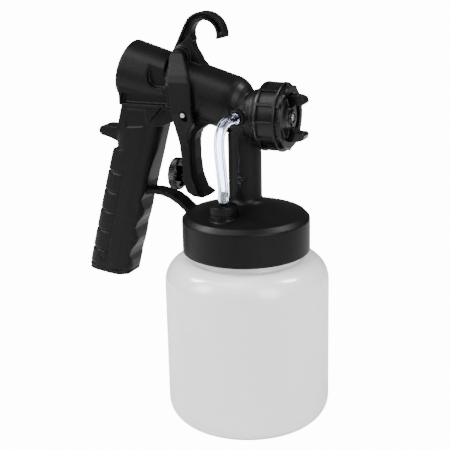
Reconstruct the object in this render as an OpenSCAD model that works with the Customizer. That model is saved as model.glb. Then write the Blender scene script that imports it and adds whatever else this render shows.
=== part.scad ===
// Turbine-fed paint spray gun with a screw-on plastic container under its head.
// Origin at the centre of the container's base, +Z up, +X towards the nozzle, -Y the gun's right side.

/* [Container] */
// Outer radius of the container
cup_r = 53; // [52:0.5:54]
// Height of the straight wall's top edge, where the shoulder starts
cup_shoulder_z = 95; // [92:1:96]
// Wall thickness of the container
cup_wall = 1.3; // [1.2:0.1:1.8]

/* [Lid] */
// Outer radius of the lid's skirt
lid_r = 41; // [40.5:0.5:42]
// Height of the skirt's lower edge
lid_z0 = 115; // [114:0.5:116]
// Height of the skirt's upper edge
lid_z1 = 136.5; // [136:0.5:137]
// Radius of the post between lid and head
post_r = 10.6; // [10:0.2:12]

/* [Head] */
// Height of the nozzle axis
nozzle_z = 203; // [202.5:0.5:203.5]
// Outer radius of the retaining ring
ring_r = 21.5; // [21:0.5:22]
// Number of grip panels round the retaining ring
ring_panels = 12; // [8:1:14]

/* [Barrel and handle] */
// Radius of the barrel's arched top at its rear face
barrel_r = 19.2; // [19:0.1:19.4]
// Downward slope of the barrel towards the nozzle, in degrees
barrel_tilt = 14.4; // [14:0.2:14.8]
// Radius of the air hose socket
socket_r = 16; // [15.5:0.1:16.2]
// Full width of the handle
handle_w = 28; // [26:1:29]
// Height of the ripples that make the finger grooves
finger_amp = 1.3; // [0.5:0.1:1.8]

/* [Trigger and controls] */
// Height of the trigger pivot
pivot_z = 238; // [237.5:0.5:238.5]
// Height of the steel pin that pulls the needle
pin_z = 204; // [203.5:0.5:204]
// Height of the flow control screw
flow_z = 161; // [160:0.5:162]
// Radius of the flow control knob
knob_r = 10.6; // [10:0.2:11]

/* [Hidden] */
$fn = 64;
// True curves have this many sides only when OpenSCAD draws them
black = [0.10, 0.10, 0.105];
trigger_black = [0.16, 0.16, 0.165];
steel = [0.72, 0.73, 0.75];
spring_steel = [0.55, 0.50, 0.42];
brass = [0.78, 0.63, 0.32];
seal_white = [0.90, 0.89, 0.86];
rubber_grey = [0.25, 0.25, 0.26];
clear_hose = [0.80, 0.85, 0.92, 0.5];
natural_plastic = [0.90, 0.90, 0.90, 0.9];

// Container
cup_base_fillet = 14.7;
cup_shoulder_r = 14;
cup_shoulder_h = 15.5;
neck_r = 36.9;
neck_top = 134.5;
thread_r = 37.7;
thread_pitch = 5;

// Lid
lid_bore_r = 38.1;
gasket_z0 = neck_top;
gasket_z1 = lid_z1;
dome_r = 38;
dome_z = 139.5;
dome_top_r = 14;
dome_top_z = 147;
tube_r = 4.5;
tube_fit = 0.1;
post_step_z = 172;
post_z0 = 151;
post_z1 = 185;
handle_top_z = 192;

// Head
head_front = 22;
head_thread_x = 14;
head_thread_r = 16.2;
head_bore_r = 12.5;
head_bore_x0 = -11;
insert_r = 7;
insert_x0 = -15;
insert_x1 = 17;
spigot_r = 6.3;
ring_x0 = 14.3;
ring_x1 = 31.5;
ring_bore_r = 16.6;
ring_lip_x = 26;
ring_open_r = 14.9;
cap_x0 = 22;
cap_flange_x = 25.6;
cap_r = 14.5;
cap_face_x = 32;
horn_x = 41.5;
nozzle_tip_x = 32.5;
needle_r = 1.5;
needle_tip_x = 33.4;
needle_tail_x = -59;

// Barrel
barrel_x = -79.8;
barrel_z = 228.4;
barrel_len = 73;
barrel_end_r = 17.2;
flank_y = 17.5;
socket_len = 18;
socket_step_r = 12.5;
duct_r = 9.5;
duct_lift = 2;
duct_len = 75;

// Trigger
pivot_x = -40.3;
pivot_r = 2.4;
pivot_fit = 0.08;
arm_t = 3.2;
arm_top_out = 10.6;
arm_out = 21.2;
blade_out = 9;
blade_in = 5.8;
boss_y = 6.8;
pin_x = -32.8;
pin_r = 1.5;
pin_half = 20.4;
chamber_r = 4.6;
chamber_x0 = -66;
carrier_r = 4.3;
carrier_x0 = -40;
carrier_x1 = -27;
slot_w = 4.4;
slot_h = 6.4;

// Flow control
knob_x0 = -50.4;
knob_x1 = -45;
flow_screw_r = 2;
flow_tip_x = -36.2;
nut_x0 = -39;
nut_x1 = -34.6;

// Check valve on the lid and the clear hose that feeds it
valve_x = -4;
valve_y = -25;
valve_z0 = 143.5;
valve_z1 = 151;
valve_r = 8.6;
hose_r = 3.4;
hose_bore = 2.2;
barb_x = 2.5;
barb_z = 204;
barb_y0 = -11;
barb_y1 = -23;
// Centreline of the clear hose, from the barb on the head down to the barb on the check valve
hose_route = [
    [2.5, -20, 204], [2.2, -23.5, 204.2], [0.8, -26.2, 203.6], [-1.2, -27.9, 201.4],
    [-2.8, -28.7, 198], [-3.9, -28.9, 193.5], [-4.3, -28.6, 188], [-4.3, -28, 182],
    [-4.1, -27.3, 176], [-3.8, -26.6, 170], [-3.6, -25.9, 164.5], [-3.7, -25.3, 160],
    [-4, -25, 156], [-4, -25, 152.5]
];

// Points of an arc in a plane, from angle a0 to a1 in n steps
function arc(cx, cy, rx, ry, a0, a1, n) =
    [for (i = [0:n]) let(a = a0 + (a1 - a0) * i / n) [cx + rx * cos(a), cy + ry * sin(a)]];

function unit(v) = v / norm(v);

// Cylinder along X from x0 to x1 on the line y = 0, z = z
module rod_x(x0, x1, r, z) {
    translate([x0, 0, z])
        rotate([0, 90, 0])
            cylinder(r = r, h = x1 - x0);
}

// Cylinder along Y from y0 to y1 at (x, z)
module rod_y(y0, y1, r, x, z) {
    translate([x, y1, z])
        rotate([90, 0, 0])
            cylinder(r = r, h = y1 - y0);
}

// Outline in the XZ plane, given thickness from y0 to y1
module plate_xz(points, y0, y1) {
    translate([0, y1, 0])
        rotate([90, 0, 0])
            linear_extrude(height = y1 - y0)
                polygon(points);
}

// Outline in the YZ plane, given thickness from x0 to x1
module plate_yz(points, x0, x1) {
    translate([x0, 0, 0])
        rotate([90, 0, 90])
            linear_extrude(height = x1 - x0)
                polygon(points);
}

// Box from one corner to the other
module box(a, b) {
    translate(a)
        cube(b - a);
}

// Frame of the barrel: its local Z runs forward along the sloping axis and local -X is up
module barrel_frame(lift = 0) {
    translate([barrel_x, 0, barrel_z])
        rotate([0, 90 + barrel_tilt, 0])
            translate([-lift, 0, 0])
                children();
}

// Closed tube or solid cord swept along the points of a route, with n sides
function ring_points(p, t, r, n) =
    let(side = unit(cross([1, 0, 0], t)), up = cross(side, t))
    [for (k = [0:n - 1]) p + r * (cos(360 * k / n) * side + sin(360 * k / n) * up)];

function tangent(route, i) =
    unit(route[min(i + 1, len(route) - 1)] - route[max(i - 1, 0)]);

module sweep(route, r, n) {
    count = len(route);
    points = [for (i = [0:count - 1]) each ring_points(route[i], tangent(route, i), r, n)];
    sides = [
        for (i = [0:count - 2])
            for (k = [0:n - 1])
                [i * n + k, i * n + (k + 1) % n, (i + 1) * n + (k + 1) % n, (i + 1) * n + k]
    ];
    first = [[for (k = [0:n - 1]) n - 1 - k]];
    last = [[for (k = [0:n - 1]) (count - 1) * n + k]];
    polyhedron(points = points, faces = concat(first, sides, last), convexity = 6);
}

// Helical spring along X between x0 and x1 on the line y = 0, z = z
module spring_x(x0, x1, z, coil_r, wire_r, turns) {
    steps = turns * 16;
    route = [
        for (i = [0:steps])
            let(a = 360 * turns * i / steps, x = x0 + wire_r + (x1 - x0 - 2 * wire_r) * i / steps)
            [x, coil_r * cos(a), z + coil_r * sin(a)]
    ];
    points = [
        for (i = [0:steps])
            let(a = 360 * turns * i / steps, out = [0, cos(a), sin(a)])
            each [for (k = [0:7]) route[i] + wire_r * (cos(45 * k) * out + sin(45 * k) * [1, 0, 0])]
    ];
    sides = [
        for (i = [0:steps - 1])
            for (k = [0:7])
                [i * 8 + k, (i + 1) * 8 + k, (i + 1) * 8 + (k + 1) % 8, i * 8 + (k + 1) % 8]
    ];
    first = [[for (k = [0:7]) k]];
    last = [[for (k = [0:7]) steps * 8 + 7 - k]];
    polyhedron(points = points, faces = concat(first, sides, last), convexity = 10);
}

// ---- Gun body: one moulding, kept here as barrel with head, hook, handle, strut, post and lid ----

module barrel_round() {
    barrel_frame()
        rotate_extrude()
            polygon(concat(
                [[0, 0], [barrel_r - 1, 0], [barrel_r, 1], [barrel_end_r, barrel_len]],
                arc(0, barrel_len, barrel_end_r, 15.5, 10, 80, 6),
                [[0, barrel_len + 15.5]]));
}

module barrel_outside() {
    barrel_round();
    // Flat flanks below the barrel's axis, down to the step above the neck
    plate_xz([
        [-78.8, 228.4], [-79.4, 216], [-79.4, 207.5], [-46, 207.5], [-28, 205], [-20, 210], [-26, 216]],
        -flank_y, flank_y);
}

module head_outside() {
    translate([0, 0, nozzle_z])
        rotate([0, 90, 0])
            rotate_extrude()
                polygon([
                    [0, -27], [6, -27], [8, -22], [13.6, -2], [15.3, 6], [17, 10.5], [17, head_thread_x],
                    [head_thread_r, head_thread_x], [head_thread_r, head_front], [0, head_front]]);
}

module lid_outside() {
    rotate_extrude()
        polygon(concat(
            [[0, lid_z0], [lid_r - 0.6, lid_z0], [lid_r, lid_z0 + 0.6], [lid_r, lid_z1]],
            [[dome_r, dome_z], [dome_top_r, dome_top_z]],
            arc(post_r + 4, post_z0, 4, 4, 255, 180, 4),
            [[0, post_z0]]));
}

// Side outline of the handle, its front edge rippled for the fingers
function handle_front(z) =
    -67.4 - (150 - z) * 0.277 + finger_amp * cos(360 * (z - 153) / 19.2);

function handle_outline() = concat(
    [[-60, 212], [-84, 212], [-86.4, 202], [-88.4, 180], [-92.3, 169], [-99, 149]],
    [[-105.6, 124], [-110, 105], [-112.4, 94], [-111.4, 92.8], [-84, 89.4], [-82, 91.2]],
    [for (z = [99:4:151]) [handle_front(z), z]],
    [[-66.4, 155], [-64.2, 162], [-58.6, 178], [-54, 193], [-46, 197], [-46, 212]]);

// Rounded section of the handle: flat flanks, round front and back edges
module handle_section(depth) {
    r = 11;
    union() {
        square([depth - 2 * r, handle_w], center = true);
        square([depth, handle_w - 2 * r], center = true);
        for (sx = [-1, 1])
            for (sy = [-1, 1])
                translate([sx * (depth / 2 - r), sy * (handle_w / 2 - r)])
                    circle(r = r);
    }
}

module handle_grip() {
    lean = 15.5;
    intersection() {
        plate_xz(handle_outline(), -handle_w / 2, handle_w / 2);
        translate([-82.8, 0, 150])
            rotate([0, lean, 0])
                translate([0, 0, -70])
                    linear_extrude(height = 150)
                        handle_section(32.1);
        union() {
            box([-130, -20, 80], [-30, 20, 177]);
            translate([-68.4, 0, 176])
                linear_extrude(height = 50)
                    handle_section(40);
        }
    }
}

// Neck under the barrel, with the needle's chamber along its foot
module neck() {
    plate_xz([[-76, 212], [-76, handle_top_z], [-65.3, handle_top_z], [-60, 193], [-52, 194], [-45, 197],
        [-18, 197], [-18, 212]], -10.5, 10.5);
    plate_xz([[-74, 212], [-74, 196], [-60, 197], [-50, 208], [-50, 212]], -handle_w / 2, handle_w / 2);
}

// Rest for the web of the hand at the back of the handle
module thumb_rest() {
    plate_xz(concat(
        [[-80, 178.5], [-88, 180.5], [-94.5, 183]],
        arc(-98.4, 187.2, 3.4, 3.4, 250, 90, 6),
        [[-94, 190.6], [-88, 190.2], [-80, 191.5]]), -6.5, 6.5);
}

hook_x = -25.2;
hook_z = 251.6;
hook_r = 14.4;
hook_in = 8.5;
hook_t = 8;

module hook_outline() {
    difference() {
        polygon(concat(
            [[-47.4, 236], [-47.4, 239.6], [-43, 248], [-38.6, 257]],
            arc(hook_x, hook_z, hook_r, hook_r, 154, -4, 14),
            [[-11.2, 250.4], [-16, 249.2], [-18, 250.4]],
            [[-27, 249.6], [-33.3, 247.6], [-31.9, 243], [-28.4, 237.6], [-26.4, 232]]));
        translate([hook_x + 0.3, hook_z + 0.5])
            circle(r = hook_in);
    }
}

// The sunk web inside the hook's rim, cut from both sides
module hook_web_cut() {
    polygon(concat(
        [[-43.2, 243.6], [-37, 255.6]],
        arc(hook_x, hook_z, hook_r - 1.7, hook_r - 1.7, 158, 8, 12),
        arc(hook_x + 0.3, hook_z + 0.5, hook_in + 1.7, hook_in + 1.7, 8, 186, 10)));
}

module hook_plate() {
    difference() {
        translate([0, hook_t / 2, 0])
            rotate([90, 0, 0])
                linear_extrude(height = hook_t)
                    hook_outline();
        for (side = [-1, 1])
            translate([0, side * hook_t / 2 + 2.4, 0])
                rotate([90, 0, 0])
                    linear_extrude(height = 4.8)
                        hook_web_cut();
    }
}

// Bosses that carry the trigger, each with a stub axle at its end
module pivot_bosses() {
    rod_y(-boss_y, boss_y, 6.2, pivot_x, pivot_z);
    plate_xz([[-46.4, 236], [-34.2, 236], [-37.6, 226], [-42, 226]], -boss_y, boss_y);
    rod_y(-boss_y - 2.4, boss_y + 2.4, pivot_r, pivot_x, pivot_z);
}

// Thin curved strap that ties the handle to the lid
module strut_plate() {
    plate_xz([
        [-72, 149.5], [-62, 150.3], [-57, 149.7], [-49, 147.6], [-43.5, 144.5], [-38.2, 139.9],
        [-33, 134], [-35.4, 131.6], [-40, 136.8], [-45.5, 141.6], [-52, 145.2], [-58, 146.8],
        [-64, 147], [-72, 145.5]], -6, 6);
}

// Pad on the dome that the check valve stands on
module valve_pad() {
    translate([valve_x, valve_y, 138])
        cylinder(r = 8, h = valve_z0 - 138);
}

// Room for the trigger arms in both flanks: a channel that follows the arms' bow
module trigger_pocket(side) {
    gap = 0.75;
    points = [for (p = arm_bow(arm_t + gap)) if (p[1] > 196) [side * p[0], p[1]]];
    plate_yz(concat(points, [[side * 30, 196], [side * 30, 250]]), -47.2, -25.4);
    // Flat cut back behind the arm, round at its rear end
    plate_xz(concat(
        [[-46, 240], [-46, 219.5], [-50, 219.5]],
        arc(-51, 226.5, 7, 7, 270, 180, 6),
        [[-58, 240]]), side > 0 ? 15 : -30, side > 0 ? 30 : -15);
}

module head_and_post_bores() {
    // Head chamber, open to the front
    rod_x(head_bore_x0, head_front + 1, head_bore_r, nozzle_z);
    // Needle chamber behind the head
    rod_x(chamber_x0, -22, chamber_r, nozzle_z);
    rod_x(-24, head_bore_x0 + 1, insert_r - 2.8, nozzle_z);
    // Seat of the fluid insert's spigot, then the pickup tube's passage
    translate([0, 0, post_step_z])
        cylinder(r = spigot_r + tube_fit, h = nozzle_z - post_step_z);
    translate([0, 0, lid_z0 - 1])
        cylinder(r = tube_r + tube_fit, h = nozzle_z - lid_z0);
}

module lid_inside() {
    translate([0, 0, lid_z0 - 1])
        cylinder(r = lid_bore_r, h = gasket_z1 - lid_z0 + 1);
    translate([0, 0, gasket_z1 - 0.5])
        cylinder(r1 = 33, r2 = 12, h = 6.5);
}

module air_passages() {
    barrel_frame() {
        translate([0, 0, -1])
            cylinder(r = socket_r, h = socket_len + 1);
        translate([0, 0, socket_len - 1])
            cylinder(r1 = socket_step_r, r2 = duct_r, h = 16);
    }
    barrel_frame(duct_lift)
        translate([0, 0, socket_len])
            cylinder(r = duct_r, h = duct_len - socket_len);
}

// Slots in the flanks that the needle's cross pin slides in
module cross_pin_windows() {
    plate_xz(concat(
        arc(pin_x + 1, pin_z, 2.2, 2.2, -90, 90, 8),
        arc(pin_x - 5, pin_z, 2.2, 2.2, 90, 270, 8)), -20, 20);
}

module side_grooves(side) {
    // Long groove low on the barrel's flank
    y = side * 17.6;
    plate_xz([[-78, 208.8], [-45, 208.8], [-45, 215], [-77, 215.2]], y - 3, y + 3);
    // Shallow empty panel on the neck
    plate_xz([[-77, handle_top_z], [-62, 193.4], [-62, 204.6], [-77.6, 204.6]],
        side > 0 ? 13.5 : -17, side > 0 ? 17 : -13.5);
}

// Grooves between the segments of the grip panel on the handle's flank
module grip_grooves(side) {
    for (i = [0:5])
        translate([-88.4 - 3.6 * i, side * handle_w / 2, 161.5 - 13.6 * i])
            rotate([0, 8, 0])
                cube([14, 1, 0.9], center = true);
}

module gun_body() {
    color(black)
        difference() {
            union() {
                barrel_outside();
                head_outside();
                neck();
                intersection() {
                    handle_grip();
                    box([-130, -20, handle_top_z], [-30, 20, 230]);
                }
                translate([0, 0, post_z1])
                    cylinder(r = post_r, h = nozzle_z - post_z1);
                rod_y(-18.2, 0, 4.8, barb_x, barb_z);
            }
            for (side = [-1, 1]) {
                trigger_pocket(side);
                side_grooves(side);
            }
            head_and_post_bores();
            air_passages();
            cross_pin_windows();
            // Hole for the head's barb, through the wall into the head chamber
            rod_y(-19, -9, 2.6, barb_x, barb_z);
        }
}

module hook() {
    color(black)
        difference() {
            union() {
                hook_plate();
                pivot_bosses();
            }
            barrel_round();
        }
}

module handle() {
    color(black)
        difference() {
            union() {
                handle_grip();
                thumb_rest();
            }
            box([-130, -20, handle_top_z], [-30, 20, 230]);
            for (side = [-1, 1])
                grip_grooves(side);
        }
}

module strut() {
    color(black)
        difference() {
            strut_plate();
            handle_grip();
            lid_outside();
        }
}

module post() {
    color(black)
        difference() {
            translate([0, 0, post_z0])
                cylinder(r = post_r, h = post_z1 - post_z0);
            head_and_post_bores();
        }
}

module lid() {
    color(black)
        difference() {
            union() {
                lid_outside();
                valve_pad();
            }
            lid_inside();
            translate([0, 0, lid_z0 - 1])
                cylinder(r = tube_r + tube_fit, h = post_z0 - lid_z0 + 2);
            // Spot face cut into the dome round the check valve
            translate([valve_x, valve_y, valve_z0])
                cylinder(r = valve_r + 0.3, h = 10);
            // Air hole under the check valve
            translate([valve_x, valve_y, 130])
                cylinder(r = 1.5, h = 20);
            // Seat of the valve's lower disc
            translate([valve_x, valve_y, valve_z0 - 2])
                cylinder(r = 5.6, h = 3);
        }
}

// ---- Trigger and what it pulls ----

// Half of the trigger's front outline, t inside its outer face, from the top down
function arm_bow(t) = [
    [arm_top_out - t, 250], [arm_top_out - t, 240.6], [13.6 - t * 1.2, 235], [18.2 - t * 1.1, 228.5],
    [arm_out - t, 221], [arm_out - 0.4 - t, 207], [18 - t, 198.5], [12.6 - t, 189.5],
    [blade_out - t, 182]];

module trigger_side() {
    polygon(concat(
        arc(pivot_x, pivot_z - 0.2, 4.8, 4.8, 30, 175, 6),
        [[-43.6, 229], [-42, 220], [-40.9, 204], [-40.7, 197], [-41.2, 190], [-41.2, 181], [-39.9, 169]],
        [[-39.6, 158], [-37, 151.4], [-33.6, 148.6], [-27, 148.2]],
        arc(-24.6, 150.4, 1.3, 1.3, -60, 90, 4),
        [[-27.8, 154], [-31.2, 162.6], [-32.4, 173], [-32.4, 185.8], [-30.8, 190.4]],
        [[-25.6, 194.4], [-26, 195.6], [-26.8, 198], [-27.2, 206], [-27.6, 221], [-30.4, 229.5]]));
}

module trigger_front() {
    right = arm_bow(0);
    left = [for (i = [len(right) - 1:-1:0]) [-right[i][0], right[i][1]]];
    polygon(concat(right, [[blade_out, 152], [7, 148], [-7, 148], [-blade_out, 152]], left));
}

module trigger_channel() {
    right = arm_bow(arm_t);
    left = [for (i = [len(right) - 1:-1:0]) [-right[i][0], right[i][1]]];
    plate_yz(concat(right, [[blade_in, 146], [-blade_in, 146]], left), -52, -35.6);
    // Opening above the blade, so that only the two arms go on up
    plate_yz(concat(
        [for (p = right) if (p[1] > 198) p], [[12, 196], [-12, 196]],
        [for (p = left) if (p[1] > 198) p]), -36, -18);
}

// Narrow finger bead: the flanks of the blade are cut back on both sides of it
module blade_flank_cut(side) {
    plate_xz([
        [-20, 146], [-28.6, 149.6], [-33.4, 162], [-34.5, 172], [-34.5, 186], [-33.2, 191],
        [-27, 198], [-18, 198]], side > 0 ? 5.2 : -22, side > 0 ? 22 : -5.2);
}

module trigger() {
    color(trigger_black)
        difference() {
            union() {
                intersection() {
                    translate([0, 20, 0])
                        rotate([90, 0, 0])
                            linear_extrude(height = 40)
                                trigger_side();
                    rotate([90, 0, 90])
                        translate([0, 0, -60])
                            linear_extrude(height = 60)
                                trigger_front();
                    difference() {
                        box([-60, -30, 140], [0, 30, 246]);
                        trigger_channel();
                        for (side = [-1, 1])
                            blade_flank_cut(side);
                    }
                }
                // Bridge that holds the flow nut
                box([nut_x0, -blade_in - 1, flow_z - 6.5], [-34, blade_in + 1, flow_z + 6.5]);
            }
            // Blind holes that clip over the body's stub axles
            rod_y(-boss_y - 2.6, boss_y + 2.6, pivot_r + pivot_fit, pivot_x, pivot_z);
            // Oval slots for the needle's cross pin
            plate_xz(concat(
                arc(pin_x, pin_z - 1 + slot_h / 2 - slot_w / 2, slot_w / 2, slot_w / 2, 0, 180, 8),
                arc(pin_x + 0.4, pin_z - 1 - slot_h / 2 + slot_w / 2, slot_w / 2, slot_w / 2, 180, 360, 8)),
                -25, 25);
            // Seat of the flow nut and clearance for the screw's tip
            rod_x(nut_x0 - 1, nut_x1, 4, flow_z);
        }
}

module needle() {
    color(steel)
        translate([0, 0, nozzle_z])
            rotate([0, 90, 0])
                rotate_extrude()
                    polygon([
                        [0, needle_tail_x], [needle_r, needle_tail_x], [needle_r, 24], [0.75, 31.5],
                        [0.2, needle_tip_x], [0, needle_tip_x]]);
}

module needle_carrier() {
    color(brass)
        difference() {
            union() {
                rod_x(carrier_x0, carrier_x1, carrier_r, nozzle_z);
                rod_x(carrier_x0 - 4, carrier_x0, 2.4, nozzle_z);
            }
            rod_x(carrier_x0 - 5, carrier_x1 + 1, needle_r, nozzle_z);
            rod_y(-10, 10, pin_r, pin_x, pin_z);
        }
}

module needle_cross_pin() {
    color(steel)
        difference() {
            rod_y(-pin_half, pin_half, pin_r, pin_x, pin_z);
            rod_x(pin_x - 5, pin_x + 5, needle_r, nozzle_z);
        }
}

module needle_spring() {
    color(spring_steel)
        spring_x(chamber_x0 + 0.2, carrier_x0 - 0.2, nozzle_z, 3.4, 0.5, 8);
}

// ---- Paint path ----

module fluid_insert() {
    color(rubber_grey)
        difference() {
            union() {
                rod_x(head_bore_x0 + 0.3, insert_x1, insert_r, nozzle_z);
                rod_x(head_bore_x0 + 0.3, head_bore_x0 + 3, head_bore_r - 0.3, nozzle_z);
                translate([0, 0, post_step_z + 0.3])
                    cylinder(r = spigot_r, h = nozzle_z - post_step_z);
            }
            // Paint chamber, needle hole and packing pocket
            rod_x(-3, insert_x1 + 1, 3.5, nozzle_z);
            rod_x(-20, 0, needle_r + 0.2, nozzle_z);
            rod_x(-20, -5.5, 4.2, nozzle_z);
            // Riser from the pickup tube
            translate([0, 0, post_step_z - 1])
                cylinder(r = tube_r + tube_fit, h = 16);
            translate([0, 0, post_step_z])
                cylinder(r = 2.6, h = nozzle_z - post_step_z);
        }
}

module needle_packing() {
    color(seal_white)
        difference() {
            rod_x(-8.3, -5.5, 4.1, nozzle_z);
            rod_x(-9, -5, needle_r + 0.05, nozzle_z);
        }
}

module packing_nut() {
    color(brass)
        difference() {
            union() {
                rod_x(-12, -8.4, 4, nozzle_z);
                rod_x(-15, -12, 3.6, nozzle_z);
            }
            rod_x(-16, -8, needle_r + 0.1, nozzle_z);
        }
}

module nozzle_seal() {
    color(seal_white)
        translate([insert_x1 + 0.6, 0, nozzle_z])
            rotate([0, 90, 0])
                rotate_extrude()
                    translate([5.2, 0])
                        circle(r = 0.6, $fn = 24);
}

module fluid_nozzle() {
    color(steel)
        difference() {
            union() {
                rod_x(11, insert_x1 + 1.3, 3.4, nozzle_z);
                translate([insert_x1 + 1.3, 0, nozzle_z])
                    rotate([0, 90, 0])
                        cylinder(r = 6.6, h = 4, $fn = 6);
                translate([0, 0, nozzle_z])
                    rotate([0, 90, 0])
                        rotate_extrude()
                            polygon([
                                [0, insert_x1 + 5], [5, insert_x1 + 5], [4, 27], [2, 30], [2, nozzle_tip_x],
                                [0, nozzle_tip_x]]);
            }
            translate([0, 0, nozzle_z])
                rotate([0, 90, 0])
                    rotate_extrude()
                        polygon([
                            [0, 10], [2.4, 10], [2.4, 26], [0.9, 31], [0.9, 33], [0, 33]]);
        }
}

// ---- Air cap and the ring that holds it ----

module horn_outline() {
    polygon([
        [27, 6.2], [33.4, 6.6], [36.2, 8.4], [horn_x - 1.2, 8.6], [horn_x, 10], [horn_x - 1, 13],
        [37, 14.2], [27, 14.2]]);
}

module air_cap() {
    color(black)
        difference() {
            union() {
                translate([0, 0, nozzle_z])
                    rotate([0, 90, 0])
                        rotate_extrude()
                            polygon([
                                [0, cap_x0 + 0.3], [ring_bore_r - 0.4, cap_x0 + 0.3],
                                [ring_bore_r - 0.4, cap_flange_x], [cap_r, cap_flange_x],
                                [cap_r, 28.4], [12.8, 30.4], [9, 31.4], [4.7, 31.8], [4.5, 33], [0, 33]]);
                for (turn = [0, 180])
                    translate([0, 0, nozzle_z])
                        rotate([turn, 0, 0])
                            translate([0, 4.4, 0])
                                rotate([90, 0, 0])
                                    linear_extrude(height = 8.8)
                                        horn_outline();
            }
            // Hollow behind the face, for the air that goes round the nozzle and to the horns
            translate([0, 0, nozzle_z])
                rotate([0, 90, 0])
                    rotate_extrude()
                        polygon([
                            [0, 20], [13.6, 20], [13.6, 27], [11.8, 28.6], [5.5, 29.6], [2.8, 30.6],
                            [2.8, 34], [0, 34]]);
            // Two jet holes in each horn, aimed at the spray
            for (turn = [0, 180])
                translate([0, 0, nozzle_z])
                    rotate([turn, 0, 0])
                        for (x = [34, 38.6])
                            translate([x, 0, 5])
                                rotate([0, -20, 0])
                                    cylinder(r = 0.8, h = 7);
            // Small holes round the centre
            for (turn = [0:45:315])
                translate([0, 0, nozzle_z])
                    rotate([turn, 0, 0])
                        translate([28, 0, 7.6])
                            rotate([0, 90, 0])
                                cylinder(r = 0.5, h = 5);
        }
}

module ring_nut() {
    step = 360 / ring_panels;
    color(black)
        translate([0, 0, nozzle_z])
            difference() {
                rotate([0, 90, 0])
                    rotate_extrude()
                        polygon([
                            [ring_bore_r, ring_x0], [ring_r - 1.2, ring_x0], [ring_r, ring_x0 + 1.2],
                            [ring_r, ring_x1 - 2.5], [ring_r - 1.6, ring_x1], [ring_open_r, ring_x1],
                            [ring_open_r, ring_lip_x], [ring_bore_r, ring_lip_x]]);
                // Sunk panels, narrower than their pitch so that ribs stand between them
                for (i = [0:ring_panels - 1])
                    rotate([i * step, 0, 0])
                        translate([ring_x0 + 3, -3.9, ring_r - 1.7])
                            cube([11.4, 7.8, 4]);
                // Notches in the front edge between the panels
                for (i = [0:ring_panels - 1])
                    rotate([(i + 0.5) * step, 0, 0])
                        translate([ring_x1 - 2.2, -1.2, ring_r - 2.6])
                            cube([4, 2.4, 4]);
            }
}

// ---- Flow control on the trigger ----

module flow_knob() {
    teeth = 30;
    color(black)
        difference() {
            union() {
                rod_x(knob_x0, knob_x1, knob_r - 0.6, flow_z);
                for (i = [0:teeth - 1])
                    translate([0, 0, flow_z])
                        rotate([i * 360 / teeth, 0, 0])
                            translate([knob_x0 + 0.8, -0.6, 0])
                                cube([knob_x1 - knob_x0 - 1.6, 1.2, knob_r]);
                rod_x(knob_x1 - 0.5, knob_x1 + 2, 5, flow_z);
            }
            rod_x(knob_x0 + 1.6, knob_x1 + 3, flow_screw_r, flow_z);
            // Dished front
            difference() {
                rod_x(knob_x1 - 2, knob_x1 + 1, knob_r - 2, flow_z);
                rod_x(knob_x1 - 3, knob_x1 + 3, 5, flow_z);
            }
        }
}

module flow_screw() {
    color(steel)
        rod_x(knob_x0 + 1.6, flow_tip_x, flow_screw_r, flow_z);
}

module flow_nut() {
    color(brass)
        difference() {
            rod_x(nut_x0, nut_x1, 4, flow_z);
            rod_x(nut_x0 - 1, nut_x1 + 1, flow_screw_r + 0.06, flow_z);
        }
}

module knob_spring() {
    color(spring_steel)
        spring_x(knob_x1 + 2.1, nut_x0 - 0.1, flow_z, 3.1, 0.35, 2);
}

// ---- Air hose to the container and its check valve ----

// Hollow nipple with two barb rings, pointing up
module barb_profile(length, foot_r) {
    rotate_extrude()
        polygon([
            [1.2, 0], [foot_r, 0], [foot_r, length * 0.45], [1.8, length * 0.46], [2.02, length * 0.6],
            [1.75, length * 0.62], [1.75, length * 0.75], [2.02, length * 0.77], [1.6, length],
            [1.2, length]]);
}

module head_barb() {
    color(brass)
        translate([barb_x, barb_y0, barb_z])
            rotate([90, 0, 0])
                barb_profile(-barb_y1 + barb_y0, 2.55);
}

module valve_seat() {
    color(black)
        translate([valve_x, valve_y, valve_z0 - 2])
            difference() {
                cylinder(r = 5.5, h = 3);
                translate([0, 0, -1])
                    cylinder(r = 1.5, h = 5);
            }
}

module valve_disc() {
    color(seal_white)
        translate([valve_x, valve_y, valve_z0 + 1.05])
            cylinder(r = 4.6, h = 0.8);
}

module valve_cap() {
    color(black)
        translate([valve_x, valve_y, 0])
            difference() {
                union() {
                    translate([0, 0, valve_z0])
                        cylinder(r = valve_r, h = valve_z1 - valve_z0 - 0.8);
                    translate([0, 0, valve_z1 - 0.8])
                        cylinder(r1 = valve_r, r2 = valve_r - 0.8, h = 0.8);
                    translate([0, 0, valve_z1])
                        barb_profile(8, 2);
                }
                // Room for the disc to lift
                translate([0, 0, valve_z0 - 1])
                    cylinder(r = 5.8, h = 4.2);
                translate([0, 0, valve_z0])
                    cylinder(r = 1.2, h = 16);
            }
}

module vent_hose() {
    color(clear_hose)
        difference() {
            sweep(hose_route, hose_r, 12);
            sweep(concat([hose_route[0] + [0, 1, 0]], hose_route, [[valve_x, valve_y, 151]]), hose_bore, 12);
        }
}

// ---- Container side ----

module pickup_tube() {
    color(natural_plastic)
        difference() {
            translate([0, 0, 12])
                cylinder(r = tube_r, h = post_step_z + 14 - 12);
            translate([0, 0, 11])
                cylinder(r = tube_r - 1.3, h = post_step_z + 20 - 12);
        }
}

module pickup_filter() {
    color(black)
        translate([0, 0, 5])
            difference() {
                union() {
                    cylinder(r = 6.5, h = 8);
                    translate([0, 0, 8])
                        cylinder(r1 = 6.5, r2 = 5.6, h = 4);
                }
                translate([0, 0, -1])
                    cylinder(r = 5, h = 7);
                translate([0, 0, 5])
                    cylinder(r = tube_r + 0.02, h = 9);
                for (turn = [0:45:315])
                    rotate([0, 0, turn])
                        box([4, -0.8, -1], [8, 0.8, 4.5]);
            }
}

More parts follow.
